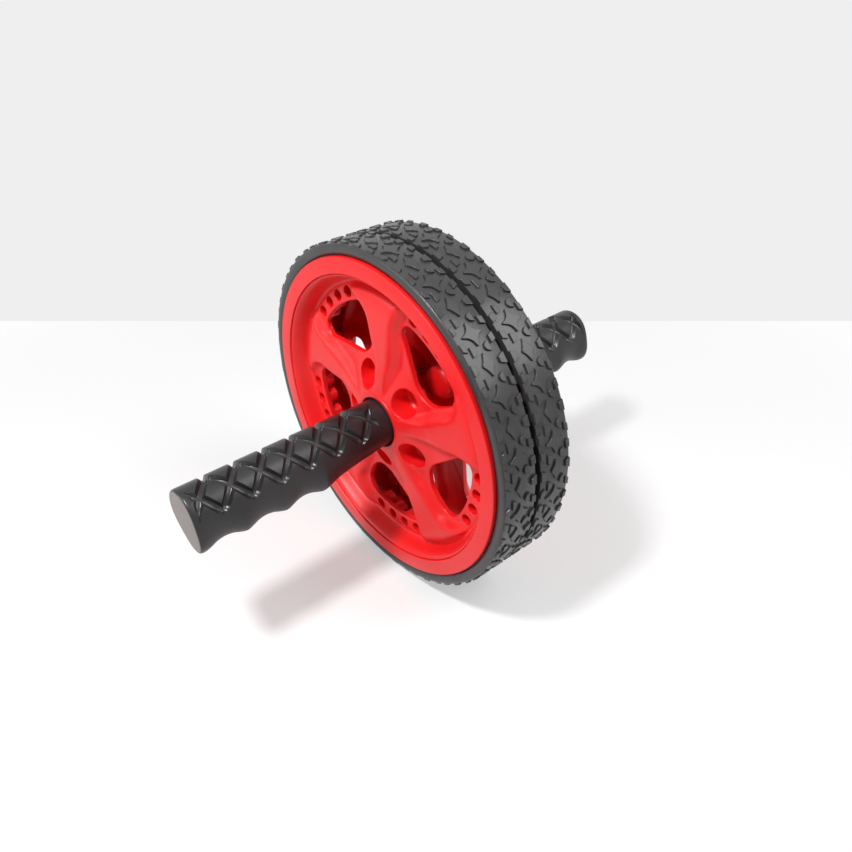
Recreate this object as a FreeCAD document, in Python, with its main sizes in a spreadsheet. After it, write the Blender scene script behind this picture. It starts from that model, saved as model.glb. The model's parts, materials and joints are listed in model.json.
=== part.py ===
import FreeCAD, Part
import math
import operator
import os
import Sketcher
from types import SimpleNamespace

# Ab wheel roller: two spoked wheels with rubber tyres, each turning on its own bushes on one steel axle,
# and a rubber grip on each end of that axle.
# The axle lies along Y through the origin and Z is up. Every piece of an end is drawn with its outer side
# towards +Y and then turned into place, so the front end points to -Y and the rear end to +Y.

# Driving sizes in millimetres, degrees and counts. Distances along the axle start at its middle.
SIZES = {
    "half_length": 124.0,
    "tyre_radius": 90.0,
    "tyre_depth": 6.7,
    "tyre_gap": 3.0,
    "tyre_width": 18.8,
    "tyre_chamfer": 1.2,
    "bead_gap": 0.3,
    "rim_wall": 3.0,
    "flange_height": 3.3,
    "flange_width": 8.3,
    "flange_thickness": 2.1,
    "flange_proud": 1.0,
    "dish_width": 5.5,
    "dish_depth": 9.2,
    "dish_wall": 3.3,
    "plate_thickness": 3.0,
    "cone_width": 17.8,
    "collar_wall": 2.1,
    "collar_lip": 0.8,
    "collar_depth": 6.65,
    "socket_gap": 1.1,
    "hub_wall": 4.95,
    "hub_length": 10.6,
    "sectors": 5,
    "sector_angle": 54.5,
    "spoke_height": 4.5,
    "spoke_waist": 7.0,
    "spoke_waist_gap": 12.8,
    "spoke_flare": 82.0,
    "spoke_root_gap": 1.1,
    "spoke_overlap": 3.5,
    "opening_margin": 9.5,
    "opening_hub_gap": 1.5,
    "opening_lead_angle": -18.5,
    "opening_lead_round": 5.5,
    "opening_trail_angle": 12.0,
    "opening_trail_round": 7.7,
    "opening_inner_angle": 5.0,
    "opening_inner_round": 12.0,
    "small_hole_margin": 4.8,
    "small_hole_radius": 3.0,
    "small_hole_pitch": 9.0,
    "small_hole_angle": -5.4,
    "small_boss_wall": 1.5,
    "small_boss_length": 5.0,
    "cup_gap": 1.6,
    "cup_radius": 7.2,
    "cup_angle": 6.5,
    "cup_wall": 2.0,
    "cup_depth": 5.6,
    "axle_radius": 6.0,
    "axle_chamfer": 0.8,
    "axle_end_gap": 0.1,
    "bush_wall": 2.5,
    "bush_flange": 1.5,
    "bush_flange_width": 2.45,
    "bush_length": 4.5,
    "running_fit": 0.05,
    "axial_play": 0.1,
    "spacer_thickness": 1.5,
    "spacer_width": 5.0,
    "washer_thickness": 1.0,
    "washer_width": 4.5,
    "washer_fit": 0.1,
    "ring_thickness": 1.0,
    "ring_height": 2.6,
    "ring_groove_depth": 0.6,
    "ring_angle": 300.0,
    "core_gap": 0.5,
    "core_wall": 3.0,
    "core_floor": 4.0,
    "screw_radius": 2.5,
    "screw_hole_fit": 0.2,
    "screw_length": 18.0,
    "screw_hole_depth": 16.0,
    "head_overhang": 2.1,
    "head_height": 2.8,
    "head_gap": 0.2,
    "socket_across": 3.0,
    "socket_depth": 1.5,
    "screw_washer_thickness": 1.0,
    "screw_washer_width": 3.5,
    "end_wall": 3.0,
    "grip_turn": -35.0,
    "palm_wall": 3.0,
    "finger_swell": 6.4,
    "finger_tip_round": 7.0,
    "neck_wall": 3.0,
    "neck_length": 3.85,
    "taper_swell": 3.4,
    "taper_length": 35.0,
    "finger_grooves": 3,
    "finger_end": 13.0,
    "finger_pitch": 20.5,
    "finger_round": 15.0,
    "finger_depth": 2.4,
    "groove_count": 7,
    "groove_row_angle": 66.0,
    "groove_neck_gap": 8.5,
    "groove_end_gap": 6.9,
    "groove_width": 3.4,
    "groove_rise": 8.4,
    "groove_land": 1.0,
    "groove_depth": 1.5,
    "rear_wheel_turn": 8.5,
}

OPERATIONS = {"+": operator.add, "-": operator.sub, "*": operator.mul, "/": operator.truediv}

doc = FreeCAD.newDocument("ab_wheel_roller")
sheet = doc.addObject("Spreadsheet::Sheet", "Sizes")
for row, (alias, number) in enumerate(SIZES.items(), start=1):
    sheet.set("A%d" % row, alias)
    sheet.set("B%d" % row, str(number))
    sheet.setAlias("B%d" % row, alias)
doc.recompute()


# A value together with the spreadsheet formula that gives it.
class Term:
    def __init__(self, value, text):
        self.value = value
        self.text = text

    def __add__(self, other):
        return joined(self, "+", other)

    def __radd__(self, other):
        return joined(other, "+", self)

    def __sub__(self, other):
        return joined(self, "-", other)

    def __rsub__(self, other):
        return joined(other, "-", self)

    def __mul__(self, other):
        return joined(self, "*", other)

    def __rmul__(self, other):
        return joined(other, "*", self)

    def __truediv__(self, other):
        return joined(self, "/", other)

    def __rtruediv__(self, other):
        return joined(other, "/", self)


def term(x):
    return x if isinstance(x, Term) else Term(float(x), repr(x))


def joined(left, sign, right):
    left, right = term(left), term(right)
    return Term(OPERATIONS[sign](left.value, right.value), "(%s %s %s)" % (left.text, sign, right.text))


def smaller(one, other):
    one, other = term(one), term(other)
    return Term(min(one.value, other.value), "min(%s; %s)" % (one.text, other.text))


def polar(radius, angle):
    radius, angle = term(radius), term(angle)
    turn = math.radians(angle.value)
    return (radius * Term(math.cos(turn), "cos(%s)" % angle.text),
            radius * Term(math.sin(turn), "sin(%s)" % angle.text))


s = SimpleNamespace(**{alias: Term(float(sheet.get(alias)), "Sizes." + alias) for alias in SIZES})

# Places along the axle, outward from the middle of the centre spacer
hub_back = s.spacer_thickness / 2 + s.axial_play + s.bush_flange
socket_floor = hub_back + s.hub_length
collar_face = socket_floor + s.collar_depth
washer_start = socket_floor + s.bush_flange + s.axial_play
ring_start = washer_start + s.washer_thickness + s.axial_play
core_start = ring_start + s.ring_thickness + s.core_gap
neck_end = core_start + s.neck_length
taper_end = neck_end + s.taper_length
finger_last = s.half_length - s.finger_end
groove_first = neck_end + s.groove_neck_gap
groove_last = s.half_length - s.groove_end_gap
groove_pitch = (groove_last - groove_first) / (s.groove_count - 1)
cavity_end = s.half_length - s.end_wall
head_base = cavity_end - s.head_gap - s.head_height
core_end = head_base - s.screw_washer_thickness
axle_end = core_end - s.core_floor - s.axle_end_gap
tyre_inner_edge = s.tyre_gap / 2
tyre_outer_edge = tyre_inner_edge + s.tyre_width
rim_face = tyre_outer_edge + s.flange_proud
flange_back = rim_face - s.flange_thickness
plate_face = rim_face - s.dish_depth
plate_back = plate_face - s.plate_thickness
plate_middle = plate_face - s.plate_thickness / 2
spoke_face = plate_face + s.spoke_height

# Radii from the axle out to the grip and the hub
bush_seat = s.axle_radius + s.running_fit + s.bush_wall
bush_flange_radius = bush_seat + s.bush_flange_width
hub_radius = bush_seat + s.hub_wall
spacer_radius = s.axle_radius + s.spacer_width
washer_radius = s.axle_radius + s.washer_width
ring_radius = s.axle_radius + s.ring_height
core_radius = s.axle_radius + s.core_wall
head_radius = s.screw_radius + s.head_overhang
screw_washer_radius = s.screw_radius + s.screw_washer_width
palm_radius = core_radius + s.palm_wall
neck_radius = core_radius + s.neck_wall
taper_radius = palm_radius + s.taper_swell
finger_reach = palm_radius + s.finger_swell
groove_bed = palm_radius - s.groove_depth
socket_radius = neck_radius + s.socket_gap
collar_radius = socket_radius + s.collar_wall
cup_circle = collar_radius + s.cup_gap + s.cup_radius
cone_foot = collar_radius + s.cone_width
spoke_root = socket_radius + s.spoke_root_gap
spoke_waist_at = collar_radius + s.spoke_waist_gap

# Radii from the tread in to the openings, which end on the hub side a gap from the cone
rim_radius = s.tyre_radius - s.tyre_depth
rim_seat = rim_radius - s.flange_height
barrel_bore = rim_seat - s.rim_wall
dish_top = rim_radius - s.flange_width
dish_foot = dish_top - s.dish_width
spoke_tip = dish_foot + s.spoke_overlap
small_hole_circle = dish_foot - s.small_hole_margin
opening_radius = dish_foot - s.opening_margin
opening_inner_end = cone_foot + s.opening_hub_gap
opening_room = opening_radius - opening_inner_end
lead_round = smaller(s.opening_lead_round, opening_room / 4)
trail_round = smaller(s.opening_trail_round, opening_room / 3)
inner_round = smaller(s.opening_inner_round, opening_room / 2)
opening_inner_radius = opening_inner_end + inner_round


UP, ALONG = FreeCAD.Vector(0, 0, 1), FreeCAD.Vector(0, 1, 0)


def bind(obj, path, value):
    obj.setExpression(path, term(value).text)


def vector(x, y):
    return FreeCAD.Vector(term(x).value, term(y).value, 0)


def origin_part(body, role):
    return next(f for f in body.Origin.OriginFeatures if f.Role == role)


# A sketch across the axle looks along -Y, so its height towards +Y is an offset of the other sign.
def new_sketch(body, name, role, height=0, turn=0, axis=UP):
    sketch = body.newObject("Sketcher::SketchObject", name)
    sketch.AttachmentSupport = [(origin_part(body, role), "")]
    sketch.MapMode = "FlatFace"
    sketch.AttachmentOffset = FreeCAD.Placement(FreeCAD.Vector(0, 0, 0), FreeCAD.Rotation(axis, term(turn).value))
    bind(sketch, "AttachmentOffset.Base.z", 0 - term(height))
    bind(sketch, "AttachmentOffset.Rotation.Angle", turn)
    return sketch


def fix(sketch, kind, *where, value):
    index = sketch.addConstraint(Sketcher.Constraint(kind, *where, term(value).value))
    bind(sketch, "Constraints[%d]" % index, value)


def pin(sketch, piece, point, x=None, y=None):
    if x is not None:
        fix(sketch, "DistanceX", -1, 1, piece, point, value=x)
    if y is not None:
        fix(sketch, "DistanceY", -1, 1, piece, point, value=y)


def tangent_chain(sketch, pieces):
    for here, there in zip(pieces, pieces[1:] + pieces[:1]):
        sketch.addConstraint(Sketcher.Constraint("Tangent", here, 2, there, 1))


def add_polygon(sketch, points):
    ends = points[1:] + points[:1]
    lines = [sketch.addGeometry(Part.LineSegment(vector(*a), vector(*b))) for a, b in zip(points, ends)]
    for here, there in zip(lines, lines[1:] + lines[:1]):
        sketch.addConstraint(Sketcher.Constraint("Coincident", here, 2, there, 1))
    for line, (x, y) in zip(lines, points):
        pin(sketch, line, 1, x, y)


def add_circle(sketch, x, y, radius):
    circle = Part.Circle(vector(x, y), FreeCAD.Vector(0, 0, 1), term(radius).value)
    piece = sketch.addGeometry(circle)
    pin(sketch, piece, 3, x, y)
    fix(sketch, "Radius", piece, value=radius)


def add_arc(sketch, centre, radius, first, last):
    circle = Part.Circle(centre, FreeCAD.Vector(0, 0, 1), term(radius).value)
    return sketch.addGeometry(Part.ArcOfCircle(circle, first, last))


def new_body(label):
    body = doc.addObject("PartDesign::Body", label)
    body.Label = label
    return body


# A piece turned about the axle from its outline in radius and distance along the axle.
def turned(label, outline, angle=360):
    body = new_body(label)
    sketch = new_sketch(body, label + "_profile", "XY_Plane")
    add_polygon(sketch, outline)
    feature = body.newObject("PartDesign::Revolution", label + "_turned")
    feature.Profile = sketch
    feature.ReferenceAxis = (sketch, ["V_Axis"])
    bind(feature, "Angle", angle)
    return body


def turned_cut(body, name, outline):
    sketch = new_sketch(body, name + "_profile", "XY_Plane")
    add_polygon(sketch, outline)
    feature = body.newObject("PartDesign::Groove", name)
    feature.Profile = sketch
    feature.ReferenceAxis = (sketch, ["V_Axis"])
    feature.Angle = 360


def pad(body, sketch, name, length):
    feature = body.newObject("PartDesign::Pad", name)
    feature.Profile = sketch
    feature.Reversed = True
    bind(feature, "Length", length)
    return feature


def pocket(body, sketch, name, both_ways=False):
    feature = body.newObject("PartDesign::Pocket", name)
    feature.Profile = sketch
    feature.Type = "ThroughAll"
    feature.Midplane = both_ways
    return feature


def round_axle(body, feature):
    pattern = body.newObject("PartDesign::PolarPattern", feature.Name + "_set")
    pattern.Originals = [feature]
    pattern.Axis = (origin_part(body, "Y_Axis"), [""])
    pattern.Angle = 360
    bind(pattern, "Occurrences", s.sectors)
    body.Tip = pattern


# Copies of a cut, from the one nearest the end of the grip back towards the wheel.
def along_axle(body, feature, length, count):
    pattern = body.newObject("PartDesign::LinearPattern", feature.Name + "_set")
    pattern.Originals = [feature]
    pattern.Direction = (origin_part(body, "Y_Axis"), [""])
    pattern.Reversed = True
    bind(pattern, "Length", length)
    bind(pattern, "Occurrences", count)
    body.Tip = pattern


def ring(label, inner, outer, start, thickness, angle=360):
    end = start + thickness
    return turned(label, [(inner, start), (outer, start), (outer, end), (inner, end)], angle)


def axle_rod():
    ring_bed = s.axle_radius - s.ring_groove_depth
    ring_end = ring_start + s.ring_thickness
    bore_start = axle_end - s.screw_hole_depth
    half = [(s.axle_radius, ring_start), (ring_bed, ring_start), (ring_bed, ring_end), (s.axle_radius, ring_end),
            (s.axle_radius, axle_end - s.axle_chamfer), (s.axle_radius - s.axle_chamfer, axle_end),
            (s.screw_radius, axle_end), (s.screw_radius, bore_start), (0, bore_start)]
    mirrored = [(x, 0 - y) for x, y in reversed(half)]
    return turned("axle_rod", half + mirrored)


def tyre(label):
    inner, outer = tyre_inner_edge, tyre_outer_edge
    bead_radius = rim_radius + s.bead_gap
    bead_start = flange_back - s.bead_gap
    return turned(label, [
        (rim_seat, inner), (s.tyre_radius - s.tyre_chamfer, inner), (s.tyre_radius, inner + s.tyre_chamfer),
        (s.tyre_radius, outer - s.tyre_chamfer), (s.tyre_radius - s.tyre_chamfer, outer),
        (bead_radius, outer), (bead_radius, bead_start), (rim_seat, bead_start)])


# The moulding before its spokes and cuts: tyre barrel, flange, dish, plate, hub cone and collar.
def wheel_blank(label):
    slope = (rim_face - plate_face) / (dish_top - dish_foot)
    dish_back = plate_back + (barrel_bore - dish_foot - s.dish_wall + s.plate_thickness / slope) * slope
    return turned(label, [
        (bush_seat, hub_back), (hub_radius, hub_back), (hub_radius, plate_back),
        (dish_foot + s.dish_wall - s.plate_thickness / slope, plate_back), (barrel_bore, dish_back),
        (barrel_bore, tyre_inner_edge), (rim_seat, tyre_inner_edge), (rim_seat, flange_back),
        (rim_radius, flange_back), (rim_radius, rim_face), (dish_top, rim_face),
        (dish_foot, plate_face), (cone_foot, plate_face),
        (collar_radius, collar_face - s.collar_lip), (collar_radius - s.collar_lip, collar_face),
        (socket_radius, collar_face), (socket_radius, socket_floor), (bush_seat, socket_floor)])


# Spoke outline along X: two arcs that come closest at the waist, closed at the root and in the dish wall.
def spoke_outline(sketch):
    radius = s.spoke_flare.value
    root, tip = spoke_root.value - spoke_waist_at.value, spoke_tip.value - spoke_waist_at.value
    rise = s.spoke_waist / 2 + s.spoke_flare
    low, high = math.asin(root / radius), math.asin(tip / radius)
    up, down = math.pi / 2, -math.pi / 2
    left = add_arc(sketch, vector(spoke_waist_at, rise), radius, down + low, down + high)
    right = add_arc(sketch, vector(spoke_waist_at, 0 - rise), radius, up - high, up - low)
    for arc, height in ((left, rise), (right, 0 - rise)):
        pin(sketch, arc, 3, spoke_waist_at, height)
        fix(sketch, "Radius", arc, value=s.spoke_flare)
    ends = [sketch.Geometry[left].StartPoint, sketch.Geometry[left].EndPoint,
            sketch.Geometry[right].StartPoint, sketch.Geometry[right].EndPoint]
    outer = sketch.addGeometry(Part.LineSegment(ends[1], ends[2]))
    inner = sketch.addGeometry(Part.LineSegment(ends[3], ends[0]))
    for a, end, b in ((left, 2, outer), (outer, 2, right), (right, 2, inner), (inner, 2, left)):
        sketch.addConstraint(Sketcher.Constraint("Coincident", a, end, b, 1))
    pin(sketch, left, 1, x=spoke_root)
    pin(sketch, left, 2, x=spoke_tip)
    pin(sketch, right, 1, x=spoke_tip)
    pin(sketch, right, 2, x=spoke_root)


# Outward normal of the straight side that runs from one round corner to the next.
def side_normal(corner, radius, other, other_radius):
    run = other - corner
    lean = math.acos((radius - other_radius) / run.Length)
    return math.atan2(run.y, run.x) - lean


# Opening between two spokes: a wide round side near the rim and three rounded corners.
def opening_outline(sketch):
    lead_at = polar(opening_radius - lead_round, s.opening_lead_angle)
    trail_at = polar(opening_radius - trail_round, s.opening_trail_angle)
    inner_at = polar(opening_inner_radius, s.opening_inner_angle)
    lead, trail, inner = vector(*lead_at), vector(*trail_at), vector(*inner_at)
    start, end = math.radians(s.opening_lead_angle.value), math.radians(s.opening_trail_angle.value)
    far = side_normal(trail, trail_round.value, inner, inner_round.value)
    near = side_normal(inner, inner_round.value, lead, lead_round.value) + 2 * math.pi

    def on(corner, radius, angle):
        return corner + FreeCAD.Vector(math.cos(angle), math.sin(angle), 0) * radius.value

    rim = add_arc(sketch, FreeCAD.Vector(0, 0, 0), opening_radius, start, end)
    trail_arc = add_arc(sketch, trail, trail_round, end, far)
    far_side = sketch.addGeometry(Part.LineSegment(on(trail, trail_round, far), on(inner, inner_round, far)))
    inner_arc = add_arc(sketch, inner, inner_round, far, near)
    near_side = sketch.addGeometry(Part.LineSegment(on(inner, inner_round, near), on(lead, lead_round, near)))
    lead_arc = add_arc(sketch, lead, lead_round, near, start + 2 * math.pi)
    tangent_chain(sketch, [rim, trail_arc, far_side, inner_arc, near_side, lead_arc])
    sketch.addConstraint(Sketcher.Constraint("Coincident", rim, 3, -1, 1))
    fix(sketch, "Radius", rim, value=opening_radius)
    fix(sketch, "Radius", trail_arc, value=trail_round)
    fix(sketch, "Radius", inner_arc, value=inner_round)
    fix(sketch, "Radius", lead_arc, value=lead_round)
    pin(sketch, lead_arc, 3, y=lead_at[1])
    pin(sketch, trail_arc, 3, y=trail_at[1])
    pin(sketch, inner_arc, 3, *inner_at)


def small_hole_row(sketch, radius):
    for step in (-1.5, -0.5, 0.5, 1.5):
        centre = polar(small_hole_circle, s.small_hole_angle + s.small_hole_pitch * step)
        add_circle(sketch, *centre, radius)


def wheel(label):
    body = wheel_blank(label)
    half_sector = 180 / s.sectors

    sketch = new_sketch(body, label + "_spoke_outline", "XZ_Plane", plate_middle, s.sector_angle + half_sector)
    spoke_outline(sketch)
    round_axle(body, pad(body, sketch, label + "_spoke", spoke_face - plate_middle))

    sketch = new_sketch(body, label + "_boss_row", "XZ_Plane", plate_back - s.small_boss_length, s.sector_angle)
    small_hole_row(sketch, s.small_hole_radius + s.small_boss_wall)
    round_axle(body, pad(body, sketch, label + "_bosses", s.small_boss_length + s.plate_thickness / 2))

    cup_floor = plate_face - s.cup_depth
    cup_at = polar(cup_circle, s.cup_angle)
    sketch = new_sketch(body, label + "_cup_outline", "XZ_Plane", cup_floor - s.cup_wall, s.sector_angle)
    add_circle(sketch, *cup_at, s.cup_radius + s.cup_wall)
    round_axle(body, pad(body, sketch, label + "_cup", plate_middle - cup_floor + s.cup_wall))

    sketch = new_sketch(body, label + "_cup_bore", "XZ_Plane", cup_floor, s.sector_angle)
    add_circle(sketch, *cup_at, s.cup_radius)
    round_axle(body, pocket(body, sketch, label + "_cup_hollow"))

    sketch = new_sketch(body, label + "_opening_outline", "XZ_Plane", 0, s.sector_angle)
    opening_outline(sketch)
    round_axle(body, pocket(body, sketch, label + "_opening"))

    sketch = new_sketch(body, label + "_hole_row", "XZ_Plane", 0, s.sector_angle)
    small_hole_row(sketch, s.small_hole_radius)
    round_axle(body, pocket(body, sketch, label + "_holes"))
    return body


# Flanged bush: flange outside the hub, barrel inside its bore.
def bush(label, flange_outer_face, flange_inner_face, barrel_end):
    bore = s.axle_radius + s.running_fit
    return turned(label, [
        (bore, flange_outer_face), (bush_flange_radius, flange_outer_face),
        (bush_flange_radius, flange_inner_face), (bush_seat, flange_inner_face),
        (bush_seat, barrel_end), (bore, barrel_end)])


def grip_core(label):
    screw_hole = s.screw_radius + s.screw_hole_fit
    floor = core_end - s.core_floor
    return turned(label, [
        (s.axle_radius, core_start), (core_radius, core_start), (core_radius, core_end),
        (screw_hole, core_end), (screw_hole, floor), (s.axle_radius, floor)])


def grip_screw(label):
    head_top = head_base + s.head_height
    tip = head_base - s.screw_length
    body = turned(label, [(0, tip), (s.screw_radius, tip), (s.screw_radius, head_base),
                          (head_radius, head_base), (head_radius, head_top), (0, head_top)])
    sketch = new_sketch(body, label + "_key_outline", "XZ_Plane", head_top - s.socket_depth)
    corner = s.socket_across / 2 / math.cos(math.pi / 6)
    add_polygon(sketch, [polar(corner, 60 * i) for i in range(6)])
    pocket(body, sketch, label + "_key")
    return body


# Section of the rubber grip: a half circle for the palm, two long arcs and a rounded finger side towards -Z.
def grip_section(sketch):
    palm, tip = palm_radius.value, s.finger_tip_round.value
    drop = finger_reach.value - tip
    side = (palm ** 2 + drop ** 2 - tip ** 2) / (2 * (palm - tip))
    lean = math.atan2(drop, side - palm)
    half = math.pi
    palm_arc = add_arc(sketch, FreeCAD.Vector(0, 0, 0), palm_radius, 0, half)
    left = add_arc(sketch, FreeCAD.Vector(side - palm, 0, 0), side, half, half + lean)
    tip_arc = add_arc(sketch, FreeCAD.Vector(0, -drop, 0), s.finger_tip_round, half + lean, 2 * half - lean)
    right = add_arc(sketch, FreeCAD.Vector(palm - side, 0, 0), side, 2 * half - lean, 2 * half)
    tangent_chain(sketch, [palm_arc, left, tip_arc, right])
    sketch.addConstraint(Sketcher.Constraint("Coincident", palm_arc, 3, -1, 1))
    sketch.addConstraint(Sketcher.Constraint("PointOnObject", palm_arc, 1, -1))
    sketch.addConstraint(Sketcher.Constraint("PointOnObject", palm_arc, 2, -1))
    sketch.addConstraint(Sketcher.Constraint("PointOnObject", tip_arc, 3, -2))
    fix(sketch, "Radius", palm_arc, value=palm_radius)
    fix(sketch, "Radius", tip_arc, value=s.finger_tip_round)
    pin(sketch, tip_arc, 3, y=s.finger_tip_round - finger_reach)


# A row of crossed grooves, to one side of the palm: each cross is cut outward from the axle.
def groove_row(body, name, turn):
    half = s.groove_width / 2
    run = groove_pitch / 2 - half - s.groove_land
    rise, waist = s.groove_rise, half * s.groove_rise / run
    upper = [(rise, run + half), (rise, run - half), (waist, 0), (rise, half - run), (rise, 0 - run - half)]
    cross = [(0, half)] + upper + [(0, 0 - half)] + [(0 - x, y) for x, y in reversed(upper)]
    sketch = new_sketch(body, name + "_outline", "XY_Plane", turn=turn, axis=ALONG)
    add_polygon(sketch, [(x, groove_last + y) for x, y in cross])
    feature = pocket(body, sketch, name)
    feature.Reversed = True
    along_axle(body, feature, groove_last - groove_first, s.groove_count)


def grip_sleeve(label):
    body = new_body(label)
    sketch = new_sketch(body, label + "_section", "XZ_Plane", core_start)
    grip_section(sketch)
    pad(body, sketch, label + "_bar", s.half_length - core_start)

    outside = finger_reach * 2
    turned_cut(body, label + "_taper", [
        (neck_radius, 0), (neck_radius, neck_end), (taper_radius, taper_end),
        (outside, taper_end), (outside, 0)])

    sketch = new_sketch(body, label + "_finger_outline", "YZ_Plane")
    bed = finger_reach - s.finger_depth
    add_circle(sketch, finger_last, 0 - bed - s.finger_round, s.finger_round)
    finger = pocket(body, sketch, label + "_finger", both_ways=True)
    along_axle(body, finger, s.finger_pitch * (s.finger_grooves - 1), s.finger_grooves)

    groove_row(body, label + "_right_groove", s.groove_row_angle)
    groove_row(body, label + "_left_groove", 0 - s.groove_row_angle)
    sketch = new_sketch(body, label + "_groove_bed", "XZ_Plane", core_start)
    add_circle(sketch, 0, 0, groove_bed)
    pad(body, sketch, label + "_bed", s.half_length - core_start)

    turned_cut(body, label + "_bore", [(0, 0), (core_radius, 0), (core_radius, cavity_end), (0, cavity_end)])
    return body


def place(body, facing, turn=0):
    spin = FreeCAD.Rotation(ALONG, term(turn).value)
    body.Placement = FreeCAD.Placement(FreeCAD.Vector(0, 0, 0), spin * facing)
    return body


def build_end(end, facing, wheel_turn):
    flange_top = socket_floor + s.bush_flange
    axle_bore = s.axle_radius + s.washer_fit
    wheel_pieces = [
        wheel("wheel_" + end),
        tyre("tyre_" + end),
        bush("bush_%s_inner" % end, hub_back - s.bush_flange, hub_back, hub_back + s.bush_length),
        bush("bush_%s_outer" % end, flange_top, socket_floor, socket_floor - s.bush_length)]
    axle_pieces = [
        ring("thrust_washer_" + end, axle_bore, washer_radius, washer_start, s.washer_thickness),
        ring("retaining_ring_" + end, s.axle_radius - s.ring_groove_depth, ring_radius, ring_start,
             s.ring_thickness, s.ring_angle),
        grip_core("grip_core_" + end),
        ring("screw_washer_" + end, s.screw_radius + s.screw_hole_fit, screw_washer_radius, core_end,
             s.screw_washer_thickness),
        grip_screw("grip_screw_" + end)]
    sleeve = place(grip_sleeve("grip_sleeve_" + end), facing, s.grip_turn)
    return ([place(piece, facing, wheel_turn) for piece in wheel_pieces]
            + [place(piece, facing) for piece in axle_pieces] + [sleeve])


def build():
    spacer_bore = s.axle_radius + s.washer_fit
    spacer = ring("centre_spacer", spacer_bore, spacer_radius, 0 - s.spacer_thickness / 2, s.spacer_thickness)
    pieces = [axle_rod(), spacer]
    pieces += build_end("front", FreeCAD.Rotation(UP, 180), 0)
    pieces += build_end("rear", FreeCAD.Rotation(), s.rear_wheel_turn)
    doc.recompute()
    return pieces


def check(pieces):
    for obj in doc.Objects:
        if "Invalid" in obj.State or "Error" in obj.State:
            raise RuntimeError("%s failed: %s" % (obj.Label, obj.State))
        if obj.TypeId in ("PartDesign::Pocket", "PartDesign::Groove"):
            if obj.Shape.Volume > obj.BaseFeature.Shape.Volume - 0.1:
                raise RuntimeError("%s cuts nothing" % obj.Label)
    for piece in pieces:
        if piece.Shape.isNull() or not piece.Shape.isValid() or len(piece.Shape.Solids) != 1:
            raise RuntimeError("%s is not one valid solid" % piece.Label)


def export(pieces):
    os.makedirs("parts", exist_ok=True)
    for piece in pieces:
        piece.Shape.exportStep(os.path.join("parts", piece.Label + ".step"))
        print("%-24s %10.1f cubic mm" % (piece.Label, piece.Shape.Volume))


pieces = build()
check(pieces)
export(pieces)
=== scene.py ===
import json
from math import atan2, cos, hypot, pi, radians, sin, sqrt

import bpy
from mathutils import Matrix, Vector


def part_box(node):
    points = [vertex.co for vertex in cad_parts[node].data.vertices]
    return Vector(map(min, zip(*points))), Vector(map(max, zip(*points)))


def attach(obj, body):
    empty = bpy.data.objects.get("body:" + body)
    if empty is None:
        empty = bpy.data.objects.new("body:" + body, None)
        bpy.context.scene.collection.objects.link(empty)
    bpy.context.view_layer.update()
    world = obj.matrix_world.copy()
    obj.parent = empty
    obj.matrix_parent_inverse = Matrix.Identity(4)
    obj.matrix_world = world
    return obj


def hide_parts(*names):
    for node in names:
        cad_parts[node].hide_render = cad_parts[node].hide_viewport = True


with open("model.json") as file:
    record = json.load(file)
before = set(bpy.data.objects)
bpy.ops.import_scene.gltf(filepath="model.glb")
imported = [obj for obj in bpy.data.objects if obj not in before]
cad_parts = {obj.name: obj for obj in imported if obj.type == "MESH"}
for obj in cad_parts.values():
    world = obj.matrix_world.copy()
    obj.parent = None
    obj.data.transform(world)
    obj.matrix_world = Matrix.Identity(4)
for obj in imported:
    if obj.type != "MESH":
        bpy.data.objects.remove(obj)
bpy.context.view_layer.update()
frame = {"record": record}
mm = 0.001
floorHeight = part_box("tyre_front")[0].z
bpy.context.scene.view_settings.view_transform = "Standard"
print("solids loaded")


# bench tools
def putDown():
    if bpy.context.mode != "OBJECT":
        bpy.ops.object.mode_set(mode="OBJECT")
    bpy.ops.object.select_all(action="DESELECT")


def pickUp(piece):
    putDown()
    piece.select_set(True)
    bpy.context.view_layer.objects.active = piece


def closeSeams(piece):
    pickUp(piece)
    bpy.ops.object.mode_set(mode="EDIT")
    bpy.ops.mesh.select_all(action="SELECT")
    bpy.ops.mesh.remove_doubles(threshold=0.001*mm)
    bpy.ops.mesh.normals_make_consistent(inside=False)
    bpy.ops.object.mode_set(mode="OBJECT")


def spinSection(name, section, steps):
    # a closed section of (radius, depth) points, spun round the axle
    putDown()
    bpy.ops.mesh.primitive_circle_add(vertices=len(section), radius=mm)
    ring = bpy.context.active_object
    ring.name = name
    for vert, (radius, depth) in zip(ring.data.vertices, section):
        vert.co = (radius*mm, depth*mm, 0)
    bpy.ops.object.mode_set(mode="EDIT")
    bpy.ops.mesh.select_all(action="SELECT")
    bpy.ops.mesh.spin(steps=steps, angle=2*pi, center=(0, 0, 0), axis=(0, 1, 0))
    bpy.ops.object.mode_set(mode="OBJECT")
    ring.matrix_world = Matrix.Identity(4)
    closeSeams(ring)
    return ring


def rollUp(name, loops):
    # a flat grid rolled into a tube through the loops, its two ends closed
    around, along = len(loops[0]), len(loops)
    putDown()
    bpy.ops.mesh.primitive_grid_add(x_subdivisions=around, y_subdivisions=along - 1, size=mm)
    tube = bpy.context.active_object
    tube.name = name
    for number, vert in enumerate(tube.data.vertices):
        row, column = divmod(number, around + 1)
        vert.co = Vector(loops[row][column % around])*mm
    closeSeams(tube)
    bpy.ops.object.mode_set(mode="EDIT")
    bpy.ops.mesh.select_mode(type="EDGE")
    bpy.ops.mesh.select_all(action="DESELECT")
    bpy.ops.mesh.select_non_manifold(use_wire=False, use_multi_face=False, use_non_contiguous=False, use_verts=False)
    bpy.ops.mesh.fill_holes(sides=0)
    bpy.ops.mesh.select_mode(type="VERT")
    bpy.ops.mesh.select_all(action="SELECT")
    bpy.ops.mesh.normals_make_consistent(inside=False)
    bpy.ops.object.mode_set(mode="OBJECT")
    return tube


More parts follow.
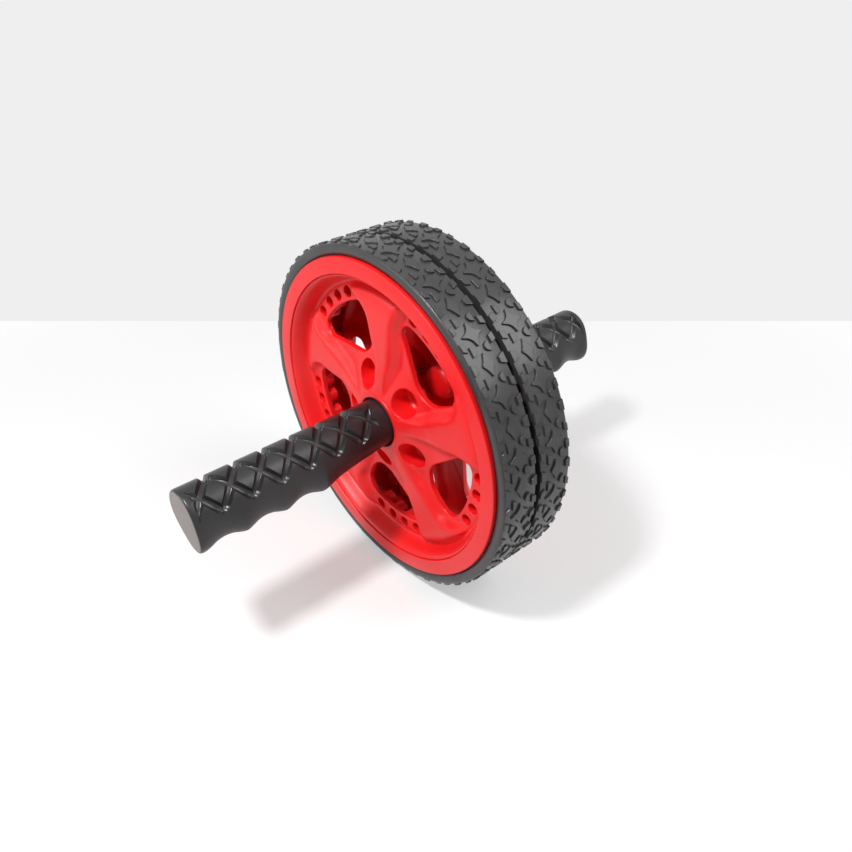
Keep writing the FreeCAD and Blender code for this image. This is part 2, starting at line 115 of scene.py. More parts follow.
def copyOf(piece, move=None):
    twin = piece.copy()
    twin.data = piece.data.copy()
    bpy.context.collection.objects.link(twin)
    if move:
        twin.data.transform(move)
    return twin


def joinUp(name, pieces):
    pickUp(pieces[0])
    for piece in pieces:
        piece.select_set(True)
    bpy.ops.object.join()
    pieces[0].name = pieces[0].data.name = name
    return pieces[0]


def ringOf(piece, count):
    # copies of one piece, evenly round the axle
    return joinUp(piece.name, [piece] + [copyOf(piece, Matrix.Rotation(2*pi*k/count, 4, "Y")) for k in range(1, count)])


def carve(piece, tool, way):
    pickUp(piece)
    cut = piece.modifiers.new(way.lower(), "BOOLEAN")
    cut.operation, cut.solver, cut.object = way, "EXACT", tool
    bpy.ops.object.modifier_apply(modifier=cut.name)
    bpy.data.objects.remove(tool, do_unlink=True)


def smoothTo(piece, degrees):
    pickUp(piece)
    bpy.ops.object.shade_smooth_by_angle(angle=radians(degrees))


def ease(part):
    part = min(max(part, 0), 1)
    return part**3*(part*(6*part - 15) + 10)


def slope(part, crest, foot):
    # from 1 down to 0: a straight slope, rounded over the given shares at its crest and at its foot
    part = min(max(part, 0), 1)
    steep = 1/(1 - crest/2 - foot/2)
    if part < crest:
        return 1 - steep*part*part/(2*crest)
    if part > 1 - foot:
        return steep*(1 - part)**2/(2*foot)
    return 1 - steep*(part - crest/2)


def through(stations, at):
    # smooth curve through (place, value) stations, with no overshoot
    if at <= stations[0][0]:
        return stations[0][1]
    if at >= stations[-1][0]:
        return stations[-1][1]
    k = max(n for n, station in enumerate(stations) if station[0] <= at)

    def rise(n):
        (x0, y0), (x1, y1) = stations[n], stations[n + 1]
        return (y1 - y0)/(x1 - x0)

    def tangent(n):
        if n in (0, len(stations) - 1):
            return rise(0) if n == 0 else rise(n - 1)
        before, after = rise(n - 1), rise(n)
        return 0 if before*after <= 0 else 2*before*after/(before + after)

    (x0, y0), (x1, y1) = stations[k], stations[k + 1]
    wide = x1 - x0
    t = (at - x0)/wide
    return (y0*(1 + 2*t)*(1 - t)**2 + y1*t*t*(3 - 2*t)
            + wide*(tangent(k)*t*(1 - t)**2 - tangent(k + 1)*t*t*(1 - t)))


def polar(radius, angle, depth):
    return (radius*cos(angle), depth, radius*sin(angle))


# Wheel: drawn with its outer side towards +Y, depths measured from the middle of the roller
wheelMould = {
    "steps": 320, "wall": 2.7, "sectors": 5, "spokeAngle": radians(90.5), "pocketAngle": radians(54.5),
    "face": [(15.2, 19.15), (16.2, 18.75), (18, 17.95), (21, 16.7), (24, 15.5), (27, 14.4), (30, 13.35),
             (33, 12.5), (36, 12.1), (66.6, 12.1), (67.5, 12), (68.3, 11.7), (69.2, 11.35), (70, 11.6), (70.8, 12.9), (71.6, 15),
             (72.4, 17.2), (73.2, 18.9), (74, 20), (74.5, 20.45), (74.75, 20.55), (74.85, 20.2), (75, 20)],
    "lift": [(15.4, 0), (17, 0.25), (20, 0.95), (24, 2.25), (28, 3.25), (33, 4.2), (38, 4.6), (60, 4.6), (64, 4.3),
             (66.5, 3.4), (68.5, 1.9), (70.2, 0.5), (71.2, 0)],
    "crest": 0.55, "foot": 0.4,
    "lagEdge": [(16, 1.9), (24, 2.1), (31, 2.4), (44.6, 3.6), (55, 5.9), (62.5, 7.8), (67, 9.4), (72, 12)],
    "lagWall": [(16, 3), (24, 5), (31, 7.5), (38, 9.6), (44, 9.9), (48, 8.7), (52, 7), (56, 5.9),
                (60, 6.6), (66, 7.6), (72, 8)],
    "leadEdge": [(16, 1.9), (24, 1.9), (31.5, 2.1), (40, 4), (47, 6.1), (55, 8.8), (60, 12), (64, 17), (67, 21), (72, 25)],
    "leadWall": [(16, 3), (24, 5), (31, 6.5), (42, 8.2), (47, 7.8), (51, 6.5), (55, 6), (60, 8), (64, 9.5), (70, 10)],
    "flange": [(75.2, 20), (75.25, 21), (75.45, 21.3), (82.7, 21.3), (83.1, 21.15), (83.3, 20.8), (83.3, 19.2)],
    "barrel": [(80, 19.2), (80, 1.8), (77, 1.8), (77, 17.2)],
    "hub": [(13.5, 14.6), (13.5, 2.35), (8.7, 2.35), (8.7, 12.95)],
    "collar": [(13.1, 12.95), (13.1, 19.2), (13.25, 19.5), (13.6, 19.6), (14.5, 19.6), (15.0, 19.45)],
    # mesh rings, listed or as first, last and count
    "collarRadii": [15.2, 15.6, 16.2], "spokeRadii": (17, 66, 43), "dishRadii": (66.6, 74.5, 20),
    "edgeRadii": [74.75, 74.85, 75], "backRadii": (74.6, 15.4, 44), "liftFrom": 15.3, "liftTo": 75.5, "smoothAngle": 32,
    "lead": (54.5, -18.5, 5.5), "trail": (52.3, 12, 7.7), "inner": (46.5, 5, 12), "outerArc": 60, "lip": 0.75,
    "windowSteps": {"lead": 10, "trail": 12, "inner": 22, "arc": 30, "trailSide": 12, "leadSide": 16},
    "lipCurve": [(0, 1), (0.13, 0.5), (0.5, 0.13), (1.1, -0.05)], "mouthFlare": 1.8, "mouthOver": 2.5, "cutFrom": 0.6,
    "holeCircle": 64.7, "holeRadius": 3, "holePitch": 9, "holeShift": -5.4, "holes": 4, "holeLip": 0.35, "holeSteps": 28,
    "bossRadius": 4.5, "bossBack": 4.1, "bossEase": 0.3, "bossTop": 10.6, "bossSteps": 24,
    "cupCircle": 24, "cupRadius": 7.2, "cupShift": 6.5, "cupFloor": 6.3, "cupWall": 2, "cupLip": 0.4, "cupSteps": 48,
    "cupFillet": [(-2.4, 0), (-1, 0.4), (-0.3, 1.2), (0, 2.4)], "cupBackSink": 1.35, "cupBackSteps": 40,
    "cupDome": [(0.8, 5), (3, 5.05), (5, 5.3), (6.8, 5.9), (8.1, 6.9), (8.9, 8.2), (9.2, 9.8)],
}


def spokeLift(radius, angle):
    w = wheelMould
    share = 2*pi/w["sectors"]
    arc = radius*((angle - w["spokeAngle"] + share/2) % share - share/2)
    side = "lag" if arc > 0 else "lead"
    off = (abs(arc) - through(w[side + "Edge"], radius))/through(w[side + "Wall"], radius)
    return through(w["lift"], radius)*slope(off, w["crest"], w["foot"])


def wheelFace(radius, angle):
    return through(wheelMould["face"], radius) + spokeLift(radius, angle)


def spread(first, last, count):
    return [first + (last - first)*n/count for n in range(count + 1)]


def wheelBlank():
    w = wheelMould
    frontRadii = w["collarRadii"] + spread(*w["spokeRadii"]) + spread(*w["dishRadii"]) + w["edgeRadii"]
    front = [(r, through(w["face"], r)) for r in frontRadii]
    back = [(r, through(w["face"], r) - w["wall"]) for r in spread(*w["backRadii"])]
    section = w["collar"] + front + w["flange"] + w["barrel"] + back + w["hub"]
    blank = spinSection("wheelBlank", section, w["steps"])
    for vert in blank.data.vertices:        # raise the spokes, front and back alike
        radius = hypot(vert.co.x, vert.co.z)/mm
        if w["liftFrom"] < radius < w["liftTo"]:
            vert.co.y += spokeLift(radius, atan2(vert.co.z, vert.co.x))*mm
    return blank


def windowOutline():
    # three rounded corners, the outer side an arc about the axle
    w, steps = wheelMould, wheelMould["windowSteps"]
    corners = {}
    for name in ("lead", "trail", "inner"):
        radius, shift, rounding = w[name]
        angle = w["pocketAngle"] + radians(shift)
        corners[name] = (Vector((radius*cos(angle), radius*sin(angle))), rounding, angle)

    def sideNormal(a, b):       # outward normal of the line that touches both corners
        (ca, ra, _), (cb, rb, _) = corners[a], corners[b]
        run = cb - ca
        lean = (ra - rb)/run.length
        along = run.normalized()
        normal = along*lean + Vector((along.y, -along.x))*sqrt(1 - lean*lean)
        return atan2(normal.y, normal.x)

    def corner(name, start, end, count):
        middle, rounding, _ = corners[name]
        end = start + (end - start) % (2*pi)
        return [middle + rounding*Vector((cos(a), sin(a))) for a in spread(start, end, count)]

    def line(a, b, count):
        return [a.lerp(b, n/count) for n in range(1, count)]

    toInner, toLead = sideNormal("trail", "inner"), sideNormal("inner", "lead")
    leadCorner = corner("lead", toLead, corners["lead"][2], steps["lead"])
    trailCorner = corner("trail", corners["trail"][2], toInner, steps["trail"])
    innerCorner = corner("inner", toInner, toLead, steps["inner"])
    turns = spread(corners["lead"][2], corners["trail"][2], steps["arc"])[1:-1]
    arc = [w["outerArc"]*Vector((cos(a), sin(a))) for a in turns]
    return (leadCorner + arc + trailCorner + line(trailCorner[-1], innerCorner[0], steps["trailSide"])
            + innerCorner + line(innerCorner[-1], leadCorner[0], steps["leadSide"]))


def outsideOf(outline):
    # outward normals of a loop that runs anticlockwise
    normals = []
    for n in range(len(outline)):
        run = (outline[(n + 1) % len(outline)] - outline[n - 1]).normalized()
        normals.append(Vector((run.y, -run.x)))
    return normals


def mouthCutter(name, outline, lip, floor=None):
    # straight sides up to the moulded face, then a rounded lip that follows it
    w = wheelMould
    normals = outsideOf(outline)

    def loop(grow, depth):
        ring = []
        for point, normal in zip(outline, normals):
            p = point + normal*grow
            ring.append((p.x, depth(p), p.y))
        return ring

    def face(p):
        return wheelFace(p.length, atan2(p.y, p.x))

    if floor is None:       # right through the wall
        loops = [loop(0, lambda p: w["cutFrom"])]
    else:       # blind: flat floor with a wide fillet
        loops = [loop(grow, lambda p: floor + rise) for grow, rise in w["cupFillet"]]
    for grow, sink in w["lipCurve"]:
        loops.append(loop(grow*lip, lambda p: face(p) - sink*lip))
    loops.append(loop(w["mouthFlare"]*lip, lambda p: face(p) + w["mouthOver"]))
    return rollUp(name, loops)


def roundAt(circle, degrees, radius, count):
    angle = wheelMould["pocketAngle"] + radians(degrees)
    middle = Vector((circle*cos(angle), circle*sin(angle)))
    return [middle + radius*Vector((cos(2*pi*n/count), sin(2*pi*n/count))) for n in range(count)]


def makeWheel():
    w = wheelMould
    blank = wheelBlank()
    holes = [w["holeShift"] + w["holePitch"]*(n - (w["holes"] - 1)/2) for n in range(w["holes"])]
    # tubes behind the small holes and behind the cups
    backs = []
    wide, back, eased = w["bossRadius"], w["bossBack"], w["bossEase"]
    bossLoops = [(wide - eased, back), (wide, back + eased), (wide, w["bossTop"])]
    for degrees in holes:
        backs.append(rollUp("tube", [[(p.x, depth, p.y) for p in roundAt(w["holeCircle"], degrees, radius, w["bossSteps"])]
                                     for radius, depth in bossLoops]))
    cupOuter = w["cupRadius"] + w["cupWall"]
    loops = [[(p.x, depth, p.y) for p in roundAt(w["cupCircle"], w["cupShift"], radius, w["cupBackSteps"])]
             for radius, depth in w["cupDome"]]
    loops.append([(p.x, wheelFace(p.length, atan2(p.y, p.x)) - w["cupBackSink"], p.y)
                  for p in roundAt(w["cupCircle"], w["cupShift"], cupOuter, w["cupBackSteps"])])
    backs.append(rollUp("cupBack", loops))
    carve(blank, ringOf(joinUp("backs", backs), w["sectors"]), "UNION")
    # windows, small holes and cups
    tools = [mouthCutter("window", windowOutline(), w["lip"])]
    for degrees in holes:
        holeRound = roundAt(w["holeCircle"], degrees, w["holeRadius"], w["holeSteps"])
        tools.append(mouthCutter("smallHole", holeRound, w["holeLip"]))
    cupRound = roundAt(w["cupCircle"], w["cupShift"], w["cupRadius"], w["cupSteps"])
    tools.append(mouthCutter("cup", cupRound, w["cupLip"], floor=w["cupFloor"]))
    carve(blank, ringOf(joinUp("tools", tools), w["sectors"]), "DIFFERENCE")
    closeSeams(blank)
    return blank


# Tyre: base ring and raised blocks, drawn flat as (round the tread, across it) from the middle of a star
tyreMould = {
    "steps": 240, "repeats": 20, "treadRadius": 90, "relief": 0.95, "middle": 10.9, "sink": 0.35, "edgeSink": 0.9,
    "outerEnd": 8.6, "innerEnd": 9.3, "edgeFrom": 6, "edgeDrawn": 3.35, "smoothAngle": 40,
    "blockFoot": 0.05,
    "blockSides": [(0, 0.45), (-0.06, 0.8), (-0.15, 0.96), (-0.24, 1), (-0.31, 1)],       # growth, share of the relief
    "section": [(80.2, 1.6), (86, 1.55), (88.6, 1.52), (88.85, 1.54), (89, 1.62), (89.05, 1.78), (89.05, 19.3),
                (89, 19.6), (88.8, 19.95), (88.3, 20.18), (87.2, 20.3), (85.8, 20.2), (84.5, 19.85),
                (83.8, 19.35), (83.6, 18.9), (80.2, 18.9)],
    "star": {"tipRound": (5.1, 0.55), "tipAcross": (0.55, 4.8), "waist": (2.2, 1.9), "reachRound": 5.6, "reachAcross": 5.3,
             "tipEase": (0.12, 0.36), "sideSteps": 5},
    "diamond": [(5.3, 0), (4.9, 0.28), (3.6, 0.85), (2.4, 1.45), (1.25, 2.25), (0.55, 2.85), (0, 3.0)],
    "dome": {"half": 2.35, "crown": 2.3, "flat": 5.1, "steps": 10},
    "edgeWedge": [(1.25, 6.1), (1.5, 6.3), (2.65, 9.15), (2.5, 9.35)],
    "edgeLean": [(3.0, 6.6), (6.4, 6.6), (6.6, 6.85), (5.75, 9.15), (5.5, 9.35), (2.1, 9.35), (1.9, 9.1), (2.75, 6.85)],
}


def starOutline():
    s = tyreMould["star"]
    p1, p2, waist = Vector(s["tipRound"]), Vector(s["tipAcross"]), Vector(s["waist"])
    pull = 2*waist - (p1 + p2)/2
    back, aside = s["tipEase"]
    quarter = [Vector((s["reachRound"], 0)), Vector((s["reachRound"] - back, aside))]
    quarter += [(1 - t)**2*p1 + 2*t*(1 - t)*pull + t*t*p2 for t in spread(0, 1, s["sideSteps"])]
    quarter.append(Vector((aside, s["reachAcross"] - back)))
    return quarter + [Vector((0, s["reachAcross"]))]


def fourfold(quarter):
    # a quarter outline from the +x tip to the +y tip, mirrored twice
    left = [Vector((-p.x, p.y)) for p in reversed(quarter[:-1])]
    half = quarter + left
    return half + [Vector((p.x, -p.y)) for p in reversed(half[1:-1])]


def treadBlock(name, outline, sink):
    normals = outsideOf(outline)
    high = tyreMould["relief"]
    levels = [(tyreMould["blockFoot"], -sink)] + [(grow, share*high) for grow, share in tyreMould["blockSides"]]
    return rollUp(name, [[(p.x + n.x*grow, p.y + n.y*grow, level) for p, n in zip(outline, normals)]
                         for grow, level in levels])


def toEdge(outline, end):
    # edge blocks are stretched from their drawn width to the given end
    start, drawn = tyreMould["edgeFrom"], tyreMould["edgeDrawn"]
    return [Vector((p.x, start + (p.y - start)*(end - start)/drawn)) for p in outline]


def mirrored(outline, flipRound, flipAcross):
    flipped = [Vector((p.x*flipRound, p.y*flipAcross)) for p in outline]
    return flipped if flipRound*flipAcross > 0 else flipped[::-1]


def makeTyre():
    t = tyreMould
    pitch = 2*pi*t["treadRadius"]/t["repeats"]
    sink, edgeSink = t["sink"], t["edgeSink"]
    blocks = [treadBlock("star", fourfold(starOutline()), sink)]
    diamond = fourfold([Vector(p) for p in t["diamond"]])
    blocks.append(treadBlock("diamond", [p + Vector((pitch/2, 0)) for p in diamond], sink))
    d = t["dome"]
    dome = [Vector((-d["half"]*cos(a), d["flat"] - (d["flat"] - d["crown"])*sin(a))) for a in spread(0, pi, d["steps"])]
    wedge = [Vector(p) for p in t["edgeWedge"]]
    wedge = wedge + [Vector((-p.x, p.y)) for p in reversed(wedge)]
    lean = [Vector(p) for p in t["edgeLean"]]
    for across, end in ((1, t["outerEnd"]), (-1, t["innerEnd"])):
        for along in (1, -1):
            side = [p + Vector((along*pitch/4, 0)) for p in mirrored(dome, 1, across)]
            blocks.append(treadBlock("dome", side, sink))
            blocks.append(treadBlock("edgeLean", mirrored(toEdge(lean, end), along, across), edgeSink))
        ridge = [p + Vector((pitch/2, 0)) for p in mirrored(toEdge(wedge, end), 1, across)]
        blocks.append(treadBlock("edgeWedge", ridge, edgeSink))
    strip = joinUp("strip", blocks)
    repeat = strip.modifiers.new("repeat", "ARRAY")
    repeat.count, repeat.use_relative_offset, repeat.use_constant_offset = t["repeats"], False, True
    repeat.constant_offset_displace = (pitch*mm, 0, 0)
    pickUp(strip)
    bpy.ops.object.modifier_apply(modifier=repeat.name)
    for vert in strip.data.vertices:        # wrap the flat strip round the ring
        along, across, high = vert.co/mm
        vert.co = Vector(polar(t["treadRadius"] - t["relief"] + high, along/t["treadRadius"], t["middle"] + across))*mm
    tyre = joinUp("tyre", [spinSection("ring", t["section"], t["steps"]), strip])
    closeSeams(tyre)
    smoothTo(tyre, t["smoothAngle"])
    return tyre


# Grip: radius by direction and by distance along the axle; directions as seen from the front
gripMould = {
    "around": 120, "palm": 12, "finger": radians(-55), "fingerPower": 8.5,
    "bore": 9, "boreEnd": 121, "start": 17.15, "end": 124,
    "reach": [(17.15, 12), (21, 12), (30, 12.9), (40, 14.1), (50, 15.7), (56, 17.4), (60, 18.3), (63, 17.5), (66.5, 16.4),
              (70, 16.0), (73.5, 16.4), (77.3, 17.6), (80.3, 18.4), (83.5, 17.6), (87, 16.4), (90.5, 16.0), (94, 16.4),
              (97.8, 17.6), (100.7, 18.4), (104, 17.6), (107.5, 16.4), (111, 16.0), (114.5, 16.4), (118.5, 17.7),
              (121.5, 18.35), (124, 18.4)],
    "mouthEase": 0.4, "ringsFrom": 1.2, "ringsTo": 2, "rings": 88, "smoothAngle": 32,
    "endEase": [(1.2, 0.05), (0.7, 0.2), (0.3, 0.5), (0.08, 0.95), (0, 1.5)],       # back from the end, inwards
    "row": radians(59), "crossings": [29.5, 44.1, 58.7, 73.3, 87.9, 102.5, 117.1], "legRise": radians(49), "legRun": 7.5,
    "surfaceHalf": 2.25, "floorHalf": 1.15, "depth": 2.2, "steps": 36,
    "linkRise": radians(24),        # short strokes over the palm that join the two rows
    # short strokes at the two ends of the row: along the axle, and up or down round the grip
    "outerUp": (4.1, radians(27)), "outerDown": (4.0, radians(46)),
    "innerUp": (5.5, radians(36)), "innerDown": (5.2, radians(40)),
    "stroke": {"above": 0.8, "floorEdge": 0.88, "curl": 0.25, "lookAhead": 0.3,
               "pointFrom": 0.25, "pointRun": 0.75, "pointSink": 0.15, "pointFloor": 0.06, "pointTop": 0.1,
               "endShare": 0.5, "narrowFrom": 0.75, "narrowRun": 0.25, "shallowFrom": 0.8, "shallowRun": 0.2},
}


def gripRadius(angle, along):
    g = gripMould
    swell = through(g["reach"], along) - g["palm"]
    return g["palm"] + swell*((1 + cos(angle - g["finger"]))/2)**g["fingerPower"]


def gripBlank(side):
    g = gripMould
    angles = [2*pi*n/g["around"] for n in range(g["around"])]

    def loop(along, inset):
        return [polar(gripRadius(a, along) - inset, a, side*along) for a in angles]

    def boreLoop(along):
        return [polar(g["bore"], a, side*along) for a in angles]

    start, end = g["start"], g["end"]
    loops = [boreLoop(g["boreEnd"]), boreLoop(start), loop(start, g["mouthEase"]), loop(start + g["mouthEase"], 0)]
    loops += [loop(a, 0) for a in spread(start + g["ringsFrom"], end - g["ringsTo"], g["rings"])]
    loops += [loop(end - drop, inset) for drop, inset in g["endEase"]]
    return rollUp("gripBlank", loops)


def grooveLeg(side, start, row, tail, head):
    # one stroke through a crossing; an end is its run along the axle, its turn round the grip and whether it is pointed
    g, k = gripMould, gripMould["stroke"]

    def centre(part):
        run, turn, pointed = head if part >= 0 else tail
        part = abs(part)
        if pointed:     # curves round towards the end of the row
            ahead, around = (1 + k["curl"])*part - k["curl"]*part*part, (1 - k["curl"])*part + k["curl"]*part*part
            return Vector((start + run*ahead, (row + turn*around)*g["palm"]))
        return Vector((start + run*part, (row + turn*part)*g["palm"]))

    loops = []
    for part in spread(-1, 1, g["steps"]):
        pointed = (head if part >= 0 else tail)[2]
        along = (centre(min(part + k["lookAhead"], 1)) - centre(max(part - k["lookAhead"], -1))).normalized()
        across = Vector((-along.y, along.x))
        far = abs(part)
        if pointed:     # thins out to nearly nothing
            fade = 1 - ease((far - k["pointFrom"])/k["pointRun"])
            sink = g["depth"]*(k["pointSink"] + (1 - k["pointSink"])*fade)
        else:       # narrows and lifts a little where it meets the next stroke
            fade = 1 - k["endShare"]*ease((far - k["narrowFrom"])/k["narrowRun"])
            sink = g["depth"]*(1 - k["endShare"]*ease((far - k["shallowFrom"])/k["shallowRun"]))
        floor, top = g["floorHalf"]*max(fade, k["pointFloor"]), g["surfaceHalf"]*max(fade, k["pointTop"])
        out = top + (top - floor)/sink*k["above"]
        ring = []
        for shift, high in ((-out, k["above"]), (-floor, -k["floorEdge"]*sink), (-0.5*floor, -sink),
                            (0.5*floor, -sink), (floor, -k["floorEdge"]*sink), (out, k["above"])):
            p = centre(part) + across*shift
            angle = p.y/g["palm"]
            ring.append(polar(gripRadius(angle, p.x) + high, angle, side*p.x))
        loops.append(ring)
    return rollUp("groove", loops)


def makeGrip(end, side):
    g = gripMould
    grip = gripBlank(side)
    palmLine = g["finger"] + pi        # the hidden row is the seen one turned over the palm
    for lean in (1, -1):
        legs = []
        for start in g["crossings"]:
            inner, outer = (-g["legRun"], -lean*g["legRise"], False), (g["legRun"], lean*g["legRise"], False)
            if start == g["crossings"][-1]:
                run, turn = g["outerUp"] if lean > 0 else g["outerDown"]
                outer = (run, lean*turn, True)
            if start == g["crossings"][0]:
                run, turn = g["innerDown"] if lean > 0 else g["innerUp"]
                inner = (-run, -lean*turn, True)
            legs.append(grooveLeg(side, start, g["row"], inner, outer))
        seen = joinUp("legs", legs)
        hidden = copyOf(seen)
        for vert in hidden.data.vertices:
            vert.co = polar(hypot(vert.co.x, vert.co.z), 2*palmLine - atan2(vert.co.z, vert.co.x), vert.co.y)
        legs = joinUp("legs", [seen, hidden])
        closeSeams(legs)
        carve(grip, legs, "DIFFERENCE")
    between = [(a + b)/2 for a, b in zip(g["crossings"], g["crossings"][1:])]
    ends = (0, -g["linkRise"], False), (0, g["linkRise"], False)
    links = joinUp("links", [grooveLeg(side, start, palmLine, *ends) for start in between])
    closeSeams(links)
    carve(grip, links, "DIFFERENCE")
    closeSeams(grip)
    print("grip", end, "has", len(grip.data.polygons), "faces")
    smoothTo(grip, g["smoothAngle"])
    grip.name = grip.data.name = "gripRubber." + end
    return grip


# Materials
def newGroup(name, inputs, outputs):
    group = bpy.data.node_groups.new(name, "ShaderNodeTree")
    for label, value in inputs.items():
        socket = group.interface.new_socket(label, in_out="INPUT", socket_type="NodeSocketFloat")
        socket.default_value = value
    for label in outputs:
        group.interface.new_socket(label, in_out="OUTPUT", socket_type="NodeSocketFloat")
    return group, group.nodes.new("NodeGroupInput"), group.nodes.new("NodeGroupOutput")


def mouldGrain():
    # fine spark-eroded grain of the mould, as a height
    group, given, result = newGroup("mouldGrain", {"Fine": 1800.0, "Coarse": 420.0}, ["Height"])
    place = group.nodes.new("ShaderNodeTexCoord")
    fine, coarse = group.nodes.new("ShaderNodeTexNoise"), group.nodes.new("ShaderNodeTexNoise")
    blend = group.nodes.new("ShaderNodeMath")
    blend.operation = "MULTIPLY_ADD"
    blend.inputs[1].default_value = 0.6
    for noise, label in ((fine, "Fine"), (coarse, "Coarse")):
        group.links.new(place.outputs["Object"], noise.inputs["Vector"])
        group.links.new(given.outputs[label], noise.inputs["Scale"])
        noise.inputs["Detail"].default_value = 2
    group.links.new(coarse.outputs["Fac"], blend.inputs[0])
    group.links.new(fine.outputs["Fac"], blend.inputs[2])
    group.links.new(blend.outputs[0], result.inputs["Height"])
    return group


def handling():
    # broad uneven patches from handling, 0 to 1
    group, given, result = newGroup("handling", {"Scale": 40.0, "Low": 0.35, "High": 0.65}, ["Mask"])
    place = group.nodes.new("ShaderNodeTexCoord")
    noise, spreadOut = group.nodes.new("ShaderNodeTexNoise"), group.nodes.new("ShaderNodeMapRange")
    noise.inputs["Detail"].default_value = 5
    noise.inputs["Roughness"].default_value = 0.6
    group.links.new(place.outputs["Object"], noise.inputs["Vector"])
    group.links.new(given.outputs["Scale"], noise.inputs["Scale"])
    group.links.new(noise.outputs["Fac"], spreadOut.inputs["Value"])
    group.links.new(given.outputs["Low"], spreadOut.inputs["From Min"])
    group.links.new(given.outputs["High"], spreadOut.inputs["From Max"])
    group.links.new(spreadOut.outputs["Result"], result.inputs["Mask"])
    return group


grainGroup, handlingGroup = mouldGrain(), handling()


def finish(name, colours, roughness, grain, patches, metallic=0.0, specular=0.5, cap=None):
    # colours and roughness each run between two values over the handling patches; a cap is the paler end face of a grip
    material = bpy.data.materials.new(name)
    material.use_nodes = True
    nodes, links = material.node_tree.nodes, material.node_tree.links
    shader = nodes["Principled BSDF"]
    shader.inputs["Metallic"].default_value = metallic
    shader.inputs["Specular IOR Level"].default_value = specular
    patch, speck = nodes.new("ShaderNodeGroup"), nodes.new("ShaderNodeGroup")
    patch.node_tree, speck.node_tree = handlingGroup, grainGroup
    patch.inputs["Scale"].default_value = patches
    speck.inputs["Fine"].default_value, speck.inputs["Coarse"].default_value = grain["fine"], grain["coarse"]
    tint = nodes.new("ShaderNodeMix")
    tint.data_type = "RGBA"
    tint.inputs["A"].default_value, tint.inputs["B"].default_value = [(*c, 1) for c in colours]
    gloss = nodes.new("ShaderNodeMapRange")
    gloss.inputs["To Min"].default_value, gloss.inputs["To Max"].default_value = roughness
    bump = nodes.new("ShaderNodeBump")
    bump.inputs["Strength"].default_value = grain["strength"]
    bump.inputs["Distance"].default_value = grain["deep"]*mm
    links.new(patch.outputs["Mask"], tint.inputs["Factor"])
    links.new(patch.outputs["Mask"], gloss.inputs["Value"])
    skin, sheen = tint.outputs["Result"], gloss.outputs["Result"]
    if cap:
        kinds = ("TexCoord", "SeparateXYZ", "Math", "MapRange")
        where, split, far, edge = (nodes.new("ShaderNode" + kind) for kind in kinds)
        far.operation = "ABSOLUTE"
        edge.inputs["From Min"].default_value, edge.inputs["From Max"].default_value = cap["from"]*mm, cap["to"]*mm
        links.new(where.outputs["Object"], split.inputs[0])
        links.new(split.outputs["Y"], far.inputs[0])
        links.new(far.outputs[0], edge.inputs["Value"])
        face, dull = nodes.new("ShaderNodeMix"), nodes.new("ShaderNodeMix")
        face.data_type = "RGBA"
        face.inputs["B"].default_value, dull.inputs["B"].default_value = (*cap["colour"], 1), cap["roughness"]
        for blend, given in ((face, skin), (dull, sheen)):
            links.new(edge.outputs["Result"], blend.inputs["Factor"])
            links.new(given, blend.inputs["A"])
        skin, sheen = face.outputs["Result"], dull.outputs["Result"]
    links.new(skin, shader.inputs["Base Color"])
    links.new(sheen, shader.inputs["Roughness"])
    links.new(speck.outputs["Height"], bump.inputs["Height"])
    links.new(bump.outputs["Normal"], shader.inputs["Normal"])
    return material


finishes = {
    "red_plastic": finish("satinRed", [(0.80, 0.008, 0.010), (0.74, 0.006, 0.008)], (0.34, 0.42),
                          {"fine": 2600, "coarse": 700, "strength": 0.12, "deep": 0.05}, 26, specular=0.38),
    "tyre_rubber": finish("treadRubber", [(0.030, 0.0292, 0.0305), (0.042, 0.041, 0.042)], (0.26, 0.35),
                          {"fine": 2200, "coarse": 600, "strength": 0.25, "deep": 0.08}, 60, specular=0.4),
    "grip_rubber": finish("gripRubber", [(0.016, 0.0155, 0.017), (0.023, 0.022, 0.023)], (0.28, 0.37),
                          {"fine": 2600, "coarse": 700, "strength": 0.2, "deep": 0.06}, 50,
                          cap={"from": 123.7, "to": 123.95, "colour": (0.24, 0.215, 0.21), "roughness": 0.7}, specular=0.4),
    "axle_steel": finish("drawnSteel", [(0.62, 0.62, 0.64), (0.54, 0.54, 0.56)], (0.24, 0.36),
                         {"fine": 3000, "coarse": 900, "strength": 0.1, "deep": 0.02}, 120, metallic=1.0),
    "fastener_steel": finish("platedSteel", [(0.56, 0.57, 0.60), (0.48, 0.49, 0.52)], (0.28, 0.40),
                             {"fine": 3000, "coarse": 900, "strength": 0.12, "deep": 0.02}, 150, metallic=1.0),
    "bush_plastic": finish("naturalAcetal", [(0.84, 0.83, 0.78), (0.78, 0.77, 0.71)], (0.42, 0.52),
                           {"fine": 2600, "coarse": 700, "strength": 0.1, "deep": 0.03}, 90),
    "core_plastic": finish("corePlastic", [(0.05, 0.05, 0.055), (0.065, 0.065, 0.07)], (0.45, 0.55),
                           {"fine": 2600, "coarse": 700, "strength": 0.15, "deep": 0.05}, 80),
}
print("finishes mixed")


def fit(piece, node, body, slotName):
    piece.data.materials.clear()
    piece.data.materials.append(finishes[slotName])
    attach(piece, body)
    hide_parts(node)


slotOf = {part["node"]: part["material_slot"] for part in frame["record"]["subparts"]}
for node, slotName in slotOf.items():
    solid = bpy.data.objects.get(node)
    if solid and solid.type == "MESH":
        for place in solid.material_slots:
            place.material = finishes[slotName]

